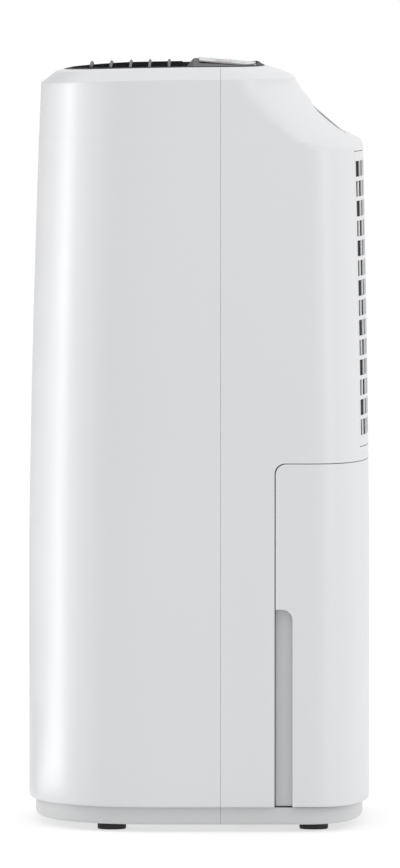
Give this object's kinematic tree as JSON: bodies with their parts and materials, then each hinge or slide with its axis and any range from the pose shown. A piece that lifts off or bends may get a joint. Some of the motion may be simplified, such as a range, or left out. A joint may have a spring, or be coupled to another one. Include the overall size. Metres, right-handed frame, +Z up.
{
  "type": "dehumidifier",
  "caption": "Upright rounded white dehumidifier with a top air outlet, slanted rear with grip, rear intake grille and slide-out water tank.",
  "frame": {"origin": "on the floor, under the middle of the body's bounding box", "axes": "+Z up, +Y towards the intake grille and the water tank, -Y the rounded front, X across"},
  "size_m": [0.35, 0.264, 0.5906],
  "materials": {
    "body_white": "semi-gloss moulded white",
    "bezel_dark": "satin dark grey",
    "outlet_black": "matt black",
    "filter_net": "fine woven nylon net",
    "panel_grey": "silver grey, satin",
    "inner_grey": "plain moulded grey",
    "tank_clear": "milky, slightly see-through",
    "rubber_black": "matt",
    "shell_steel": "black enamel",
    "zinc_steel": "zinc plated",
    "fin_aluminium": "bright thin sheet",
    "pipe_copper": "drawn copper tube",
    "board": "lacquered circuit board"
  },
  "bodies": {
    "housing": {"accumulator": "shell_steel", "base_pan": "inner_grey", "bulkhead": "inner_grey", "capacitor_clamp": "zinc_steel", "capillary_tube": "pipe_copper", "compressor": "shell_steel", "compressor_bolt_1": "zinc_steel", "compressor_bolt_2": "zinc_steel", "compressor_bolt_3": "zinc_steel", "compressor_grommet_1": "rubber_black", "compressor_grommet_2": "rubber_black", "compressor_grommet_3": "rubber_black", "condenser": "fin_aluminium", "control_board": "board", "control_housing": "bezel_dark", "control_plate": "panel_grey", "cord_inlet": "bezel_dark", "discharge_pipe": "pipe_copper", "display_window": "outlet_black", "drip_tray": "inner_grey", "evaporator": "fin_aluminium", "fan_housing": "inner_grey", "fan_motor": "zinc_steel", "foot_1": "rubber_black", "foot_2": "rubber_black", "foot_3": "rubber_black", "foot_4": "rubber_black", "front_cover": "body_white", "grip_pocket": "inner_grey", "humidity_sensor": "board", "motor_bracket": "zinc_steel", "outlet_duct": "inner_grey", "outlet_slats": "outlet_black", "rear_housing": "body_white", "run_capacitor": "fin_aluminium", "suction_pipe": "pipe_copper", "tank_full_switch": "outlet_black", "terminal_cover": "outlet_black", "top_bezel": "bezel_dark"},
    "tank": {"tank_fascia": "body_white", "tank_bucket": "tank_clear"},
    "lid": {"tank_lid": "tank_clear"},
    "handle": {"tank_handle": "inner_grey"},
    "float": {"tank_float": "inner_grey"},
    "grille": {"intake_grille": "body_white"},
    "filter": {"filter_frame": "bezel_dark", "filter_mesh_left": "filter_net", "filter_mesh_right": "filter_net"},
    "fan_rotor": {"fan_wheel": "outlet_black", "motor_shaft": "zinc_steel"},
    "power_key_body": {"power_key": "bezel_dark"},
    "mode_key_body": {"mode_key": "bezel_dark"},
    "timer_key_body": {"timer_key": "bezel_dark"},
    "fan_key_body": {"fan_key": "bezel_dark"},
    "humidity_key_body": {"humidity_key": "bezel_dark"}
  },
  "joints": [
    {"name": "tank_slide", "type": "slide", "parent": "housing", "child": "tank", "axis": [0, 1, 0], "range_m": [0, 0.13]},
    {"name": "lid_lift", "type": "slide", "parent": "tank", "child": "lid", "axis": [0, 0, 1], "range_m": [0, 0.01]},
    {"name": "handle_swing", "type": "hinge", "parent": "tank", "child": "handle", "pos_m": [0, 0.077, 0.24], "axis": [-1, 0, 0], "range_deg": [0, 90]},
    {"name": "float_swing", "type": "hinge", "parent": "tank", "child": "float", "pos_m": [0, 0.04, 0.216], "axis": [1, 0, 0], "range_deg": [0, 15]},
    {"name": "grille_pull", "type": "slide", "parent": "housing", "child": "grille", "axis": [0, 1, 0], "range_m": [0, 0.03]},
    {"name": "filter_unclip", "type": "slide", "parent": "grille", "child": "filter", "axis": [0, -1, 0], "range_m": [0, 0.005]},
    {"name": "fan_spin", "type": "hinge", "parent": "housing", "child": "fan_rotor", "pos_m": [0, 0, 0.408], "axis": [0, 1, 0], "continuous": true},
    {"name": "power_key_press", "type": "slide", "parent": "housing", "child": "power_key_body", "axis": [0, 0, -1], "range_m": [0, 0.0008], "stiffness_N_per_m": 900},
    {"name": "mode_key_press", "type": "slide", "parent": "housing", "child": "mode_key_body", "axis": [0, 0, -1], "range_m": [0, 0.0008], "stiffness_N_per_m": 900},
    {"name": "timer_key_press", "type": "slide", "parent": "housing", "child": "timer_key_body", "axis": [0, 0, -1], "range_m": [0, 0.0008], "stiffness_N_per_m": 900},
    {"name": "fan_key_press", "type": "slide", "parent": "housing", "child": "fan_key_body", "axis": [0, 0, -1], "range_m": [0, 0.0008], "stiffness_N_per_m": 900},
    {"name": "humidity_key_press", "type": "slide", "parent": "housing", "child": "humidity_key_body", "axis": [0, 0, -1], "range_m": [0, 0.0008], "stiffness_N_per_m": 900}
  ]
}
